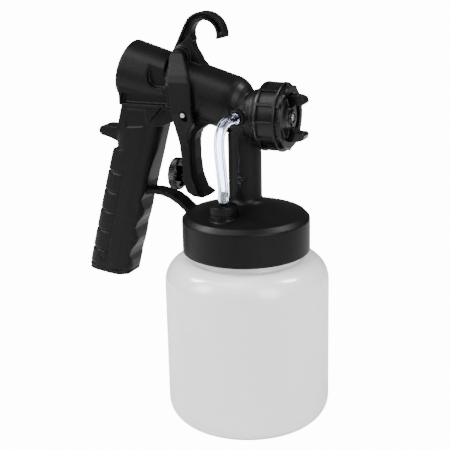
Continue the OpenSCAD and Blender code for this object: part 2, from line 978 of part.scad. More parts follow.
module container_gasket() {
    color(seal_white)
        translate([0, 0, gasket_z0])
            difference() {
                cylinder(r = 37.7, h = gasket_z1 - gasket_z0);
                translate([0, 0, -1])
                    cylinder(r = 33.2, h = 5);
            }
}

module container() {
    shoulder_top = cup_shoulder_z + cup_shoulder_h;
    neck_in = cup_r - cup_shoulder_r - 3.2;
    inner_shoulder_r = cup_shoulder_r - cup_wall;
    color(natural_plastic)
        rotate_extrude()
            polygon(concat(
                [[0, 0], [cup_r - cup_base_fillet, 0]],
                arc(cup_r - cup_base_fillet, cup_base_fillet, cup_base_fillet, cup_base_fillet, -75, 0, 8),
                arc(cup_r - cup_shoulder_r, cup_shoulder_z, cup_shoulder_r, cup_shoulder_h, 0, 80, 8),
                [[neck_r + 1, shoulder_top + 0.6], [neck_r, shoulder_top + 1.6]],
                [for (z = [118:thread_pitch:128])
                    each [[neck_r, z], [thread_r, z + 0.8], [thread_r, z + 2], [neck_r, z + 2.8]]],
                [[neck_r, neck_top], [neck_in, neck_top], [neck_in, shoulder_top + 1]],
                arc(cup_r - cup_wall - inner_shoulder_r, cup_shoulder_z, inner_shoulder_r,
                    cup_shoulder_h - cup_wall, 78, 0, 8),
                arc(cup_r - cup_base_fillet, cup_base_fillet, cup_base_fillet - cup_wall,
                    cup_base_fillet - cup_wall, 0, -75, 8),
                [[cup_r - cup_base_fillet, 1.5], [0, 1.5]]));
}

gun_body();
hook();
handle();
strut();
post();
lid();
trigger();
needle();
needle_carrier();
needle_cross_pin();
needle_spring();
fluid_insert();
needle_packing();
packing_nut();
nozzle_seal();
fluid_nozzle();
air_cap();
ring_nut();
flow_knob();
flow_screw();
flow_nut();
knob_spring();
head_barb();
valve_seat();
valve_disc();
valve_cap();
vent_hose();
pickup_tube();
pickup_filter();
container_gasket();
container();
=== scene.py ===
"""Looks of a turbine-fed paint spray gun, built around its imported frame.

Lengths in this file are millimetres in the frame's own axes: +Z up, +X towards the nozzle, -Y the
side with the clear hose. MM turns them into Blender's metres when a mesh is written.
"""

import math

import bmesh
import bpy
import numpy as np
from mathutils import Matrix, Vector


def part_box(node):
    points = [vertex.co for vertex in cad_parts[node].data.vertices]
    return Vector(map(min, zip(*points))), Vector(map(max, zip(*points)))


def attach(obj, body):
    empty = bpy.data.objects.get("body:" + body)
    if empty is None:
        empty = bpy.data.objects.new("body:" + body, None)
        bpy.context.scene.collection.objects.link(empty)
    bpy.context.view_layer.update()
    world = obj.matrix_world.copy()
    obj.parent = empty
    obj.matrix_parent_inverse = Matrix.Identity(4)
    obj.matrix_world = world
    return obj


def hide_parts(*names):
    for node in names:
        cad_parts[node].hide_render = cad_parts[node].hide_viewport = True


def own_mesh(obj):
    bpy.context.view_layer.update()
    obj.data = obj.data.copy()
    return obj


bl_info = {
    "name": "HVLP Spray Gun",
    "version": (1, 0, 0),
    "blender": (4, 5, 0),
    "location": "View3D > Sidebar > Spray Gun",
    "description": "Builds the visible surfaces of a paint spray gun round its frame",
    "category": "Object",
}

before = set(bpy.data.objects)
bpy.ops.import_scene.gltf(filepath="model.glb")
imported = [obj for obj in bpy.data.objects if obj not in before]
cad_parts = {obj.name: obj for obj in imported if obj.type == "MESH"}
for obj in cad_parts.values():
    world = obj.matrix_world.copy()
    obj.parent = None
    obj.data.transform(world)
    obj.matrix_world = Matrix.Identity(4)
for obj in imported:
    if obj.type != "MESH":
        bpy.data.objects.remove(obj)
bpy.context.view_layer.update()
MM = 0.001


def box_mm(node):
    """Lowest and highest corner of a frame node, in millimetres."""
    low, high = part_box(node)
    return np.array(low) / MM, np.array(high) / MM


RING_LOW, RING_HIGH = box_mm("ring_nut")
KNOB_LOW, KNOB_HIGH = box_mm("flow_knob")
CUP_LOW, CUP_HIGH = box_mm("container")
CAP_LOW, CAP_HIGH = box_mm("valve_cap")
PIN_LOW, PIN_HIGH = box_mm("needle_cross_pin")
PIN_X = (PIN_LOW[0] + PIN_HIGH[0]) / 2
PIN_Z = (PIN_LOW[2] + PIN_HIGH[2]) / 2
# The frame keeps the body's single moulding as six nodes
MOULDING = ("gun_body", "hook", "handle", "strut", "post", "lid")
NOZZLE_Z = (RING_LOW[2] + RING_HIGH[2]) / 2
FLOW_Z = (KNOB_LOW[2] + KNOB_HIGH[2]) / 2
VALVE_X = (CAP_LOW[0] + CAP_HIGH[0]) / 2
VALVE_Y = (CAP_LOW[1] + CAP_HIGH[1]) / 2


# ---- Settings ----


class GunFinish(bpy.types.PropertyGroup):
    """Colours and gloss of the gun's materials."""

    body_color: bpy.props.FloatVectorProperty(
        name="Body", description="Colour of the moulded body", subtype="COLOR",
        default=(0.0022, 0.0022, 0.0023)
    )
    trigger_color: bpy.props.FloatVectorProperty(
        name="Trigger", description="Colour of the textured trigger", subtype="COLOR",
        default=(0.0035, 0.0035, 0.0037)
    )
    container_color: bpy.props.FloatVectorProperty(
        name="Container", description="Colour of the natural polyethylene", subtype="COLOR",
        default=(0.88, 0.865, 0.835)
    )
    body_roughness: bpy.props.FloatProperty(
        name="Body roughness", description="Roughness of the satin body", subtype="FACTOR",
        min=0, max=1, default=0.42
    )
    grain_depth: bpy.props.FloatProperty(
        name="Grain depth", description="Depth of the moulded grain, in mm", min=0, max=0.2, default=0.02
    )


class GunSizes(bpy.types.PropertyGroup):
    """Sizes of the visible details, in millimetres."""

    ring_panels: bpy.props.IntProperty(
        name="Ring panels", description="Sunk panels round the retaining ring", min=8, max=14, default=12
    )
    panel_depth: bpy.props.FloatProperty(
        name="Panel depth", description="How far the ring's panels are sunk", min=0.3, max=1.8, default=1.3
    )
    knurls: bpy.props.IntProperty(
        name="Knurls", description="Ridges round the flow knob", min=20, max=80, default=44
    )
    seam_height: bpy.props.FloatProperty(
        name="Seam height", description="Height of the container's moulding seam",
        min=0, max=0.4, default=0.14
    )
    voxel: bpy.props.FloatProperty(
        name="Edge softness", description="Size of the rounding on the body's moulded edges",
        min=0.3, max=1, default=0.5
    )


# ---- Meshes ----


def grid_faces(rows, columns, wrap_rows, wrap_columns):
    """Quads of a grid of points, joined back to its start along either direction if asked."""
    i = np.arange(rows if wrap_rows else rows - 1)
    j = np.arange(columns if wrap_columns else columns - 1)
    i, j = (part.ravel() for part in np.meshgrid(i, j, indexing="ij"))
    i_next = (i + 1) % rows
    j_next = (j + 1) % columns
    row, row_next = i * columns, i_next * columns
    return np.stack([row + j, row_next + j, row_next + j_next, row + j_next], axis=1)


def mesh_from_grid(name, points, wrap_rows=False, wrap_columns=False, sharp_angle=35.0):
    """Mesh of a grid of points in millimetres, outward faces, with edges over the angle left sharp."""
    rows, columns = points.shape[:2]
    faces = grid_faces(rows, columns, wrap_rows, wrap_columns)
    mesh = bpy.data.meshes.new(name)
    mesh.from_pydata(points.reshape(-1, 3) * MM, [], faces.tolist())
    tidy = bmesh.new()
    tidy.from_mesh(mesh)
    bmesh.ops.remove_doubles(tidy, verts=tidy.verts, dist=1e-7)
    bmesh.ops.dissolve_degenerate(tidy, edges=tidy.edges, dist=1e-7)
    bmesh.ops.recalc_face_normals(tidy, faces=tidy.faces)
    tidy.to_mesh(mesh)
    tidy.free()
    mesh.shade_smooth()
    mesh.set_sharp_from_angle(angle=math.radians(sharp_angle))
    return mesh


def add_piece(name, mesh, body, slot, material, *nodes):
    """Object of a mesh that rides on a body and, where nodes are named, stands for them."""
    piece = bpy.data.objects.new(name, mesh)
    bpy.context.scene.collection.objects.link(piece)
    piece.data.materials.clear()
    piece.data.materials.append(material)
    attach(piece, body)
    if nodes:
        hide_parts(*nodes)
    return piece


def resample(points, spacing):
    """Points of a closed or open outline, with extra ones so that none are further apart than spacing."""
    points = np.asarray(points, float)
    steps = np.maximum(1, np.ceil(np.linalg.norm(np.diff(points, axis=0), axis=1) / spacing).astype(int))
    parts = [np.linspace(a, b, n, endpoint=False) for a, b, n in zip(points[:-1], points[1:], steps)]
    return np.concatenate([*parts, points[-1:]])


def arc(centre_r, centre_a, radius_r, radius_a, start, end, count=10):
    """Points (radius, height) of an elliptical arc between two angles in degrees."""
    t = np.radians(np.linspace(start, end, count))
    return np.stack([centre_r + radius_r * np.cos(t), centre_a + radius_a * np.sin(t)], axis=1)


def smoothstep(low, high, value):
    """0 below low, 1 above high, and a smooth cubic between."""
    t = np.clip((value - low) / (high - low), 0, 1)
    return t * t * (3 - 2 * t)


def revolve(profile, count, relief=None):
    """Grid of points (radius, angle, height) of a closed profile of (radius, height) turned once.

    Relief, if given, is a function of the arrays radius, angle and height that returns the new radius.
    """
    angle = np.linspace(0, 2 * np.pi, count, endpoint=False)
    radius = np.repeat(profile[:, :1], count, axis=1)
    height = np.repeat(profile[:, 1:], count, axis=1)
    angle = np.repeat(angle[None, :], len(profile), axis=0)
    if relief:
        radius = relief(radius, angle, height)
    return radius, angle, height


def about_z(radius, angle, height, x=0.0, y=0.0):
    """Cylinder coordinates round a vertical line, as points."""
    return np.stack([x + radius * np.cos(angle), y + radius * np.sin(angle), height], axis=-1)


def about_x(radius, angle, height, z):
    """Cylinder coordinates round a line along X at height z, as points."""
    return np.stack([height, radius * np.cos(angle), z + radius * np.sin(angle)], axis=-1)


def soft_copy(source_nodes, name, voxel, smoothing, triangles, depth_at=None):
    """Mesh of one or more frame nodes as a single moulding with its edges rounded.

    Each node's surface is merged, and all are rebuilt together on a regular lattice and relaxed. Then
    depth_at, if given, sinks each point along its normal by a depth in mm, and the mesh is thinned.
    """
    merged = bmesh.new()
    for node in source_nodes:
        part = bmesh.new()
        part.from_mesh(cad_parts[node].data)
        bmesh.ops.remove_doubles(part, verts=part.verts, dist=1e-6)
        single = bpy.data.meshes.new("part")
        part.to_mesh(single)
        part.free()
        merged.from_mesh(single)
        bpy.data.meshes.remove(single)
    mesh = bpy.data.meshes.new(name + "_source")
    merged.to_mesh(mesh)
    merged.free()
    carrier = bpy.data.objects.new(name + "_source", mesh)
    bpy.context.scene.collection.objects.link(carrier)
    rebuild = carrier.modifiers.new("Rebuild", "REMESH")
    rebuild.mode = "VOXEL"
    rebuild.voxel_size = voxel * MM
    relax = carrier.modifiers.new("Relax", "SMOOTH")
    relax.factor = 0.5
    relax.iterations = smoothing
    made = bpy.data.meshes.new_from_object(carrier.evaluated_get(bpy.context.evaluated_depsgraph_get()))
    if depth_at:
        sink(made, depth_at)
    count = sum(len(p.vertices) - 2 for p in made.polygons)
    if count > triangles:
        carrier.modifiers.clear()
        carrier.data = made
        thin = carrier.modifiers.new("Thin", "DECIMATE")
        thin.ratio = triangles / count
        made = bpy.data.meshes.new_from_object(carrier.evaluated_get(bpy.context.evaluated_depsgraph_get()))
    bpy.data.objects.remove(carrier)
    if not made.polygons:
        raise RuntimeError(f"the rebuilt surface of {name} is empty")
    made.name = name
    made.shade_smooth()
    return made


def sink(mesh, depth_at):
    """Moves each vertex inwards along its normal by depth_at(points, normals), all in millimetres."""
    points = np.empty(len(mesh.vertices) * 3, np.float32)
    normals = np.empty_like(points)
    mesh.vertices.foreach_get("co", points)
    mesh.vertices.foreach_get("normal", normals)
    points, normals = points.reshape(-1, 3) / MM, normals.reshape(-1, 3)
    moved = points - normals * depth_at(points, normals)[:, None]
    mesh.vertices.foreach_set("co", (moved * MM).astype(np.float32).ravel())
    mesh.update()


def ridge(distance, width):
    """Bell curve of a line's cross-section: 1 on the line, and fading over the width."""
    return np.exp(-((distance / width) ** 2))


# Upper end of the handle's leaning back edge, and how far it moves back for each mm down
GRIP_X, GRIP_Z = -88.4, 161.5
GRIP_LEAN = 0.265
# Joints between the grip segments: spacing, slope, and how far each one's line starts further back
JOINTS, JOINT_PITCH, JOINT_SLOPE, JOINT_STEP_BACK = 6, 13.6, 0.14, 3.6
PANEL_EDGE = 7.4
FOOT_X, FOOT_Z, FOOT_SLOPE = -112.4, 97.6, 0.16
DATE_X, DATE_Z, DATE_RADIUS = -98.5, 103.5, 3.0
CREASE_X = 5.4
MARK_X, MARK_Z, MARK_RADIUS = 2.5, 165, 2.2


def moulding_depth(points, normals):
    """Depth of the fine moulded relief on the body, in millimetres.

    It is a sum of grooves: the joints between seven grip segments that wrap the back of the handle, the
    border in front of them, the rim of the foot, a date circle, a crease round the head and a mark on
    the post. All of it is symmetric except the date circle and the post's mark, which face -Y.
    """
    x, y, z = points.T
    handle = smoothstep(-58, -62, x) * smoothstep(172, 168, z)
    behind = x - GRIP_X + (GRIP_Z - z) * GRIP_LEAN
    grip = smoothstep(7.6, 6.6, behind) * handle
    joints = sum(
        ridge(z - GRIP_Z + JOINT_PITCH * i + JOINT_SLOPE * (x - GRIP_X + JOINT_STEP_BACK * i), 0.62)
        for i in range(JOINTS)
    )
    depth = 0.85 * joints * grip
    flank = smoothstep(0.5, 0.8, np.abs(normals[:, 1]))
    border = 0.5 * ridge(behind - PANEL_EDGE, 0.55) * handle * flank
    depth = depth + border * smoothstep(98, 101, z) * smoothstep(166, 163, z)
    foot = 0.45 * ridge(z - FOOT_Z + FOOT_SLOPE * (x - FOOT_X), 0.5) * handle
    depth = depth + foot * smoothstep(0.6, 0.3, np.abs(normals[:, 2]))
    near = flank * (normals[:, 1] < 0)
    depth = depth + 0.4 * ridge(np.hypot(x - DATE_X, z - DATE_Z) - DATE_RADIUS, 0.4) * near * handle
    off_axis = np.hypot(y, z - NOZZLE_Z)
    crease = 0.45 * ridge(x - CREASE_X, 0.5)
    depth = depth + crease * smoothstep(12.5, 14, off_axis) * smoothstep(17.5, 16.5, off_axis)
    post = smoothstep(11.4, 10.9, np.hypot(x, y)) * smoothstep(0.4, 0.7, -normals[:, 1])
    depth = depth + 0.35 * ridge(np.hypot(x - MARK_X, z - MARK_Z) - MARK_RADIUS, 0.4) * post
    return depth


def trigger_depth(points, normals):
    """Depth that opens the trigger's oval slots, whose walls face away from Y, back to their full size."""
    x, y, z = points.T
    reach = np.hypot(x - PIN_X, (z - PIN_Z + 1) / 1.4)
    walls = smoothstep(0.75, 0.5, np.abs(normals[:, 1]))
    return 0.35 * smoothstep(3.6, 3.1, reach) * walls


# ---- Materials ----


def surface_group():
    """Shared pattern of moulded and machined surfaces: fine grain, broad mottle and sparse dust specks."""
    found = bpy.data.node_groups.get("Surface Pattern")
    if found:
        return found
    group = bpy.data.node_groups.new("Surface Pattern", "ShaderNodeTree")
    for name, default in (("Grain Scale", 2500.0), ("Mottle Scale", 60.0), ("Speck Scale", 700.0)):
        socket = group.interface.new_socket(name, in_out="INPUT", socket_type="NodeSocketFloat")
        socket.default_value = default
    for name in ("Grain", "Mottle", "Specks"):
        group.interface.new_socket(name, in_out="OUTPUT", socket_type="NodeSocketFloat")
    nodes, links = group.nodes, group.links
    inputs = nodes.new("NodeGroupInput")
    outputs = nodes.new("NodeGroupOutput")
    place = nodes.new("ShaderNodeTexCoord")
    for name, scale, detail in (("Grain", "Grain Scale", 3.0), ("Mottle", "Mottle Scale", 4.0)):
        noise = nodes.new("ShaderNodeTexNoise")
        noise.inputs["Detail"].default_value = detail
        links.new(place.outputs["Object"], noise.inputs["Vector"])
        links.new(inputs.outputs[scale], noise.inputs["Scale"])
        links.new(noise.outputs["Fac"], outputs.inputs[name])
    cells = nodes.new("ShaderNodeTexVoronoi")
    links.new(place.outputs["Object"], cells.inputs["Vector"])
    links.new(inputs.outputs["Speck Scale"], cells.inputs["Scale"])
    near = nodes.new("ShaderNodeMapRange")
    near.inputs["From Min"].default_value = 0.10
    near.inputs["From Max"].default_value = 0.04
    links.new(cells.outputs["Distance"], near.inputs["Value"])
    rare = nodes.new("ShaderNodeSeparateColor")
    links.new(cells.outputs["Color"], rare.inputs["Color"])
    chosen = nodes.new("ShaderNodeMath")
    chosen.operation = "GREATER_THAN"
    chosen.inputs[1].default_value = 0.95
    links.new(rare.outputs["Red"], chosen.inputs[0])
    mask = nodes.new("ShaderNodeMath")
    mask.operation = "MULTIPLY"
    links.new(near.outputs["Result"], mask.inputs[0])
    links.new(chosen.outputs["Value"], mask.inputs[1])
    links.new(mask.outputs["Value"], outputs.inputs["Specks"])
    return group


def finish_material(name, color, roughness, **options):
    """Principled material whose colour, roughness and fine relief vary over the surface.

    Options: vary (roughness swing), grain (mm), grain_scale, mottle (colour swing), mottle_scale,
    specks (0 to 1), metallic, specular, coat, transmission, ior, subsurface and subsurface_mm.
    """
    found = bpy.data.materials.get(name)
    if found:
        return found
    material = bpy.data.materials.new(name)
    material.use_nodes = True
    nodes, links = material.node_tree.nodes, material.node_tree.links
    shader = nodes["Principled BSDF"]
    pattern = nodes.new("ShaderNodeGroup")
    pattern.node_tree = surface_group()
    pattern.inputs["Grain Scale"].default_value = options.get("grain_scale", 2500.0)
    pattern.inputs["Mottle Scale"].default_value = options.get("mottle_scale", 60.0)

    swing = options.get("mottle", 0.12)
    tint = nodes.new("ShaderNodeMix")
    tint.data_type = "RGBA"
    tint.inputs["A"].default_value = (*[c * (1 - swing) for c in color], 1)
    tint.inputs["B"].default_value = (*[min(1.0, c * (1 + swing)) for c in color], 1)
    links.new(pattern.outputs["Mottle"], tint.inputs["Factor"])
    dust = nodes.new("ShaderNodeMix")
    dust.data_type = "RGBA"
    dust.inputs["B"].default_value = (0.35, 0.35, 0.34, 1)
    amount = nodes.new("ShaderNodeMath")
    amount.operation = "MULTIPLY"
    amount.inputs[1].default_value = options.get("specks", 0.0)
    links.new(pattern.outputs["Specks"], amount.inputs[0])
    links.new(amount.outputs["Value"], dust.inputs["Factor"])
    links.new(tint.outputs["Result"], dust.inputs["A"])
    links.new(dust.outputs["Result"], shader.inputs["Base Color"])

    vary = options.get("vary", 0.06)
    gloss = nodes.new("ShaderNodeMapRange")
    gloss.inputs["To Min"].default_value = max(0.02, roughness - vary)
    gloss.inputs["To Max"].default_value = roughness + vary
    links.new(pattern.outputs["Mottle"], gloss.inputs["Value"])
    links.new(gloss.outputs["Result"], shader.inputs["Roughness"])

    relief = nodes.new("ShaderNodeBump")
    relief.inputs["Strength"].default_value = 1.0
    relief.inputs["Distance"].default_value = options.get("grain", 0.02) * MM
    links.new(pattern.outputs["Grain"], relief.inputs["Height"])
    links.new(relief.outputs["Normal"], shader.inputs["Normal"])

    shader.inputs["Metallic"].default_value = options.get("metallic", 0.0)
    shader.inputs["Specular IOR Level"].default_value = options.get("specular", 0.5)
    shader.inputs["Coat Weight"].default_value = options.get("coat", 0.0)
    shader.inputs["Coat Roughness"].default_value = 0.16
    shader.inputs["Transmission Weight"].default_value = options.get("transmission", 0.0)
    shader.inputs["IOR"].default_value = options.get("ior", 1.5)
    shader.inputs["Subsurface Weight"].default_value = options.get("subsurface", 0.0)
    shader.inputs["Subsurface Radius"].default_value = (1.0, 0.97, 0.9)
    shader.inputs["Subsurface Scale"].default_value = options.get("subsurface_mm", 4.0) * MM
    return material


def body_material(finish):
    return finish_material(
        "Satin Black Moulding", finish.body_color, finish.body_roughness,
        grain=finish.grain_depth, specks=0.06, specular=0.13,
    )


def trigger_material(finish):
    return finish_material(
        "Textured Black Moulding", finish.trigger_color, 0.5,
        grain=0.05, grain_scale=1700, specks=0.05, specular=0.11,
    )


def gloss_material(finish):
    return finish_material(
        "Glossy Black Moulding", finish.body_color, 0.2, grain=0.008, vary=0.05, specks=0.04, specular=0.3,
    )


def ring_material(finish):
    return finish_material(
        "Ring Moulding", finish.body_color, 0.34,
        grain=0.06, grain_scale=1500, vary=0.08, specks=0.05, specular=0.2,
    )


def steel_material():
    return finish_material(
        "Turned Steel", (0.62, 0.63, 0.65), 0.2,
        metallic=1.0, grain=0.006, grain_scale=4000, vary=0.07, mottle=0.06,
    )


def brass_material():
    return finish_material(
        "Turned Brass", (0.72, 0.53, 0.24), 0.26, metallic=1.0, grain=0.006, grain_scale=4000, mottle=0.08,
    )


def seal_material():
    return finish_material("White Seal", (0.76, 0.75, 0.71), 0.55, grain=0.02, mottle=0.05)


def container_material(finish):
    return finish_material(
        "Natural Polyethylene", finish.container_color, 0.26, grain=0.012, grain_scale=900, mottle=0.015,
        mottle_scale=25, vary=0.04, subsurface=0.5, subsurface_mm=5.0, coat=0.7,
    )


def hose_material():
    return finish_material(
        "Clear Soft Hose", (0.62, 0.67, 0.82), 0.13, grain=0.02, grain_scale=500, mottle=0.02,
        vary=0.03, transmission=1.0, ior=1.45,
    )


# ---- Pieces ----


class GUN_OT_body(bpy.types.Operator):
    """Build the moulded body, with its edges rounded as a moulding's are"""

    bl_idname = "gun.body"
    bl_label = "Body"

    def execute(self, context):
        voxel = context.scene.gun_sizes.voxel
        mesh = soft_copy(
            MOULDING, "body_moulding", voxel, smoothing=3, triangles=190000, depth_at=moulding_depth
        )
        material = body_material(context.scene.gun_finish)
        add_piece("body_moulding", mesh, "gun", "body_plastic", material, *MOULDING)
        return {"FINISHED"}


class GUN_OT_trigger(bpy.types.Operator):
    """Build the trigger with its softened edges"""

    bl_idname = "gun.trigger"
    bl_label = "Trigger"

    def execute(self, context):
        mesh = soft_copy(
            ("trigger",), "trigger_lever", 0.32, smoothing=10, triangles=150000, depth_at=trigger_depth
        )
        material = trigger_material(context.scene.gun_finish)
        add_piece("trigger_lever", mesh, "trigger", "trigger_plastic", material, "trigger")
        return {"FINISHED"}


class GUN_OT_air_cap(bpy.types.Operator):
    """Build the air cap with its two horns"""

    bl_idname = "gun.air_cap"
    bl_label = "Air Cap"

    def execute(self, context):
        mesh = soft_copy(("air_cap",), "air_cap_shell", 0.24, smoothing=2, triangles=120000)
        material = gloss_material(context.scene.gun_finish)
        add_piece("air_cap_shell", mesh, "air_cap", "cap_plastic", material, "air_cap")
        return {"FINISHED"}


class GUN_OT_ring(bpy.types.Operator):
    """Build the retaining ring with its sunk panels and toothed front"""

    bl_idname = "gun.ring"
    bl_label = "Retaining Ring"

    def execute(self, context):
        sizes = context.scene.gun_sizes
        back, front = RING_LOW[0], RING_HIGH[0]
        outer = (RING_HIGH[2] - RING_LOW[2]) / 2
        step = front - 3.4
        neck = outer - 1.9
        bore, opening, lip = 16.6, 14.9, 26.0
        profile = resample(
            [
                [bore, back], [outer - 1.2, back], [outer - 0.3, back + 0.3], [outer, back + 1.2],
                [outer, step - 0.5], [outer - 0.5, step], [neck, step + 0.2], [neck, front - 0.8],
                [neck - 0.8, front], [opening + 0.4, front], [opening, front - 0.4], [opening, lip],
                [bore, lip], [bore, back],
            ],
            0.22,
        )[:-1]
        pitch = 2 * np.pi / sizes.ring_panels

        def panels(radius, angle, height):
            """Radius less the panel's depth inside it, plus a tooth on the front step at each rib."""
            across = (angle / pitch) % 1 - 0.5
            arc_mm = np.abs(across) * pitch * outer
            half = pitch * outer / 2
            inside = smoothstep(half - 0.75, half - 1.1, arc_mm)
            along = smoothstep(back + 2.1, back + 2.5, height) * smoothstep(step - 1.6, step - 2.0, height)
            wall = smoothstep(neck + 0.6, outer - 0.4, radius)
            tooth = smoothstep(half - 2.0, half - 1.4, arc_mm) * smoothstep(step, step + 0.4, height)
            tooth = tooth * smoothstep(neck - 1.2, neck - 0.4, radius)
            tooth = tooth * smoothstep(front, front - 0.9, height)
            return radius - sizes.panel_depth * inside * along * wall + 0.9 * tooth

        mesh = mesh_from_grid("retaining_ring", about_x(*revolve(profile, 480, panels), NOZZLE_Z), True, True)
        material = ring_material(context.scene.gun_finish)
        add_piece("retaining_ring", mesh, "ring_nut", "ring_plastic", material, "ring_nut")
        return {"FINISHED"}


class GUN_OT_knob(bpy.types.Operator):
    """Build the knurled flow knob"""

    bl_idname = "gun.knob"
    bl_label = "Flow Knob"

    def execute(self, context):
        sizes = context.scene.gun_sizes
        back, boss = KNOB_LOW[0], KNOB_HIGH[0]
        rim_front = boss - 2.0
        outer = (KNOB_HIGH[2] - KNOB_LOW[2]) / 2
        profile = resample(
            [
                [0, back + 0.7], [outer - 3.4, back + 0.5], [outer - 2.6, back], [outer - 1.1, back],
                [outer - 0.4, back + 0.4], [outer, back + 1.1], [outer, rim_front - 0.8],
                [outer - 0.7, rim_front], [outer - 2.2, rim_front], [outer - 2.6, rim_front - 1.6],
                [5.2, rim_front - 1.6], [5, rim_front - 1.3], [5, boss - 0.3], [4.7, boss],
                [2.05, boss], [2.05, back + 1.7], [0, back + 1.7],
            ],
            0.25,
        )

        def knurl(radius, angle, height):
            """Rounded ridges round the rim, fading at both of its edges."""
            rim = smoothstep(outer - 0.9, outer - 0.2, radius)
            band = smoothstep(back + 0.4, back + 1.2, height) * smoothstep(rim_front, rim_front - 0.8, height)
            groove = 0.5 - 0.5 * np.cos(angle * sizes.knurls)
            return radius - 0.42 * groove * rim * band

        mesh = mesh_from_grid("knurled_knob", about_x(*revolve(profile, 352, knurl), FLOW_Z), False, True)
        material = gloss_material(context.scene.gun_finish)
        add_piece("knurled_knob", mesh, "flow_knob", "knob_plastic", material, "flow_knob")
        return {"FINISHED"}


class GUN_OT_valve(bpy.types.Operator):
    """Build the check valve's cap with its slotted foot and hose nipple"""

    bl_idname = "gun.valve"
    bl_label = "Check Valve"

    def execute(self, context):
        foot, top = CAP_LOW[2], CAP_HIGH[2]
        outer = (CAP_HIGH[0] - CAP_LOW[0]) / 2
        shelf = top - 8.0
        profile = resample(
            [
                [5.8, foot], [outer - 0.3, foot], [outer, foot + 0.3], [outer, foot + 1.7],
                [outer - 0.5, foot + 1.9], [outer - 0.5, foot + 2.3], [outer, foot + 2.5],
                [outer, shelf - 0.7], [outer - 0.25, shelf - 0.2], [outer - 0.8, shelf],
                [2.6, shelf], [2.0, shelf + 0.4], [2.0, shelf + 3.6], [1.8, shelf + 3.7], [2.02, shelf + 4.8],
                [1.75, shelf + 4.9], [1.75, shelf + 6.0], [2.02, shelf + 6.2], [1.6, top],
                [1.2, top], [1.2, foot + 3.2], [5.8, foot + 3.2], [5.8, foot],
            ],
            0.22,
        )[:-1]

        def slots(radius, angle, height):
            """Four upright notches cut in the foot ring."""
            across = (angle / (np.pi / 2) + 0.22) % 1 - 0.5
            inside = smoothstep(1.5, 1.2, np.abs(across) * (np.pi / 2) * outer)
            low_down = smoothstep(foot + 1.85, foot + 1.7, height)
            cut = inside * low_down * smoothstep(outer - 1.4, outer - 0.4, radius)
            return radius - 0.9 * cut

        grid = about_z(*revolve(profile, 288, slots), VALVE_X, VALVE_Y)
        mesh = mesh_from_grid("check_valve_cap", grid, True, True)
        material = body_material(context.scene.gun_finish)
        add_piece("check_valve_cap", mesh, "gun", "valve_plastic", material, "valve_cap")
        return {"FINISHED"}


# Centreline of the clear hose, from the nipple on the head down to the one on the check valve
HOSE_ROUTE = [
    [2.5, -20, 204], [2.2, -23.5, 204.2], [0.8, -26.2, 203.6], [-1.2, -27.9, 201.4],
    [-2.8, -28.7, 198], [-3.9, -28.9, 193.5], [-4.3, -28.6, 188], [-4.3, -28, 182],
    [-4.1, -27.3, 176], [-3.8, -26.6, 170], [-3.6, -25.9, 164.5], [-3.7, -25.3, 160],
    [-4, -25, 156], [-4, -25, 152.5],
]


def smooth_route(points, per_span):
    """Catmull-Rom curve through points: each span is the cubic of its two ends and their neighbours."""
    p = np.asarray(points, float)
    p = np.concatenate([[2 * p[0] - p[1]], p, [2 * p[-1] - p[-2]]])
    t = np.linspace(0, 1, per_span, endpoint=False)[None, :, None]
    a, b, c, d = (p[i : len(p) - 3 + i][:, None, :] for i in range(4))
    curve = 0.5 * (2 * b + (c - a) * t + (2 * a - 5 * b + 4 * c - d) * t**2 + (3 * b - a - 3 * c + d) * t**3)
    return np.concatenate([curve.reshape(-1, 3), p[-2:-1]])


class GUN_OT_hose(bpy.types.Operator):
    """Build the clear hose between the head and the check valve"""

    bl_idname = "gun.hose"
    bl_label = "Clear Hose"

    def execute(self, context):
        line = smooth_route(HOSE_ROUTE, 12)
        along = np.gradient(line, axis=0)
        along /= np.linalg.norm(along, axis=1, keepdims=True)
        side = np.cross([1.0, 0.0, 0.0], along)
        side /= np.linalg.norm(side, axis=1, keepdims=True)
        up = np.cross(along, side)
        span = line[:, 2]
        # The nipple's two rings swell the hose where it is pushed over them
        swell = sum(0.16 * ridge(span - ring_height, 0.7) for ring_height in (157.2, 155.8))
        outer, inner = 3.3, 2.25
        angle = np.linspace(0, 2 * np.pi, 64, endpoint=False)

        def skin(radius):
            ring = np.cos(angle)[None, :, None] * side[:, None] + np.sin(angle)[None, :, None] * up[:, None]
            return line[:, None] + radius[:, None, None] * ring

        walls = np.concatenate([skin(outer + swell), skin(np.full(len(line), inner))[::-1]])
        mesh = mesh_from_grid("clear_hose", walls, True, True, 50)
        add_piece("clear_hose", mesh, "gun", "clear_hose", hose_material(), "vent_hose")
        return {"FINISHED"}


def coil(low, high, height, coil_radius, wire_radius, turns):
    """Grid of a spring along X: a circle of wire carried along a helix, drawn to a point at both ends."""
    turned = np.linspace(0, 2 * np.pi * turns, int(turns * 32))
    along = np.linspace(low + wire_radius, high - wire_radius, len(turned))
    around = np.linspace(0, 2 * np.pi, 10, endpoint=False)
    radius = coil_radius + wire_radius * np.cos(around)[None, :]
    x = along[:, None] + wire_radius * np.sin(around)[None, :]
    grid = np.stack([x, radius * np.cos(turned)[:, None], height + radius * np.sin(turned)[:, None]], axis=-1)
    ends = [np.broadcast_to(ring.mean(axis=0), ring.shape)[None] for ring in (grid[0], grid[-1])]
    return np.concatenate([ends[0], grid, ends[1]])


